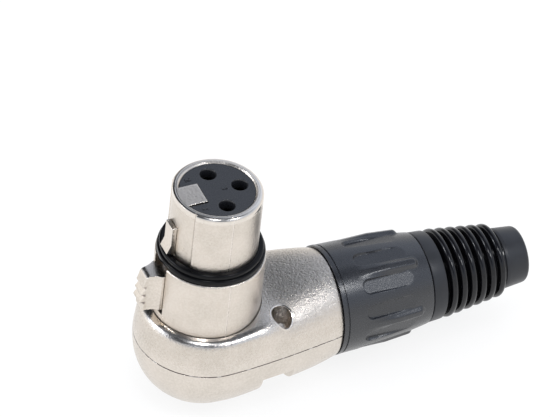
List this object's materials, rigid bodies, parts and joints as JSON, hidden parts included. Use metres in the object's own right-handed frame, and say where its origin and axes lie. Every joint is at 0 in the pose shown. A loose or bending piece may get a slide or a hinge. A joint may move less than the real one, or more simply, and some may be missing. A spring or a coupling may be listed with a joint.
{
  "type": "xlr plug",
  "caption": "Right-angle female audio cable plug with a latched barrel, a split cast housing, a screw-on collar and a ringed rubber boot.",
  "frame": {"origin": "centre of the black mating face inside the barrel's rim", "axes": "+Z out of the mating face along the barrel, +X towards the cable outlet, latch on the -X side"},
  "size_m": [0.0739, 0.024, 0.0456],
  "materials": {
    "satin_nickel": "satin nickel plate",
    "cast_nickel": "fine blasted satin nickel plate",
    "latch_nickel": "satin nickel plate",
    "screw_nickel": "bright nickel plate",
    "ring_rubber": "glossy",
    "insert_plastic": "satin moulded",
    "contact_brass": "tin plated",
    "tinned_lug": "tin plated",
    "spring_steel": "drawn wire",
    "chuck_plastic": "moulded",
    "collar_plastic": "satin moulded with fine texture",
    "boot_rubber": "satin with glossy rings"
  },
  "bodies": {
    "housing": {"shell": "satin_nickel", "ring_gasket": "ring_rubber", "insert_front": "insert_plastic", "insert_rear": "insert_plastic", "contact_1": "contact_brass", "contact_2": "contact_brass", "contact_3": "contact_brass", "earth_lug": "tinned_lug", "housing_upper": "cast_nickel", "housing_lower": "cast_nickel", "housing_screws": "screw_nickel", "chuck": "chuck_plastic", "latch_spring": "spring_steel"},
    "latch": {"latch_lever": "latch_nickel"},
    "boot": {"boot": "boot_rubber"},
    "collar": {"collar_nut": "collar_plastic"}
  },
  "joints": [
    {"name": "latch_press", "type": "hinge", "parent": "housing", "child": "latch", "pos_m": [-0.0058, 0, -0.0024], "axis": [0, -1, 0], "range_deg": [0, 6.5], "stiffness_Nm_per_rad": 0.05, "springref_deg": -5.73, "deforming": ["latch_spring"]},
    {"name": "boot_slide", "type": "slide", "parent": "housing", "child": "boot", "axis": [1, 0, 0], "range_m": [0, 0.009]},
    {"name": "collar_turn", "type": "hinge", "parent": "boot", "child": "collar", "pos_m": [0.032, 0, -0.0327], "axis": [1, 0, 0], "range_deg": [0, 2160]}
  ],
  "couplings": [
    {"joint": "boot_slide", "follows": "collar_turn", "m_per_rad": 0.00023873}
  ]
}
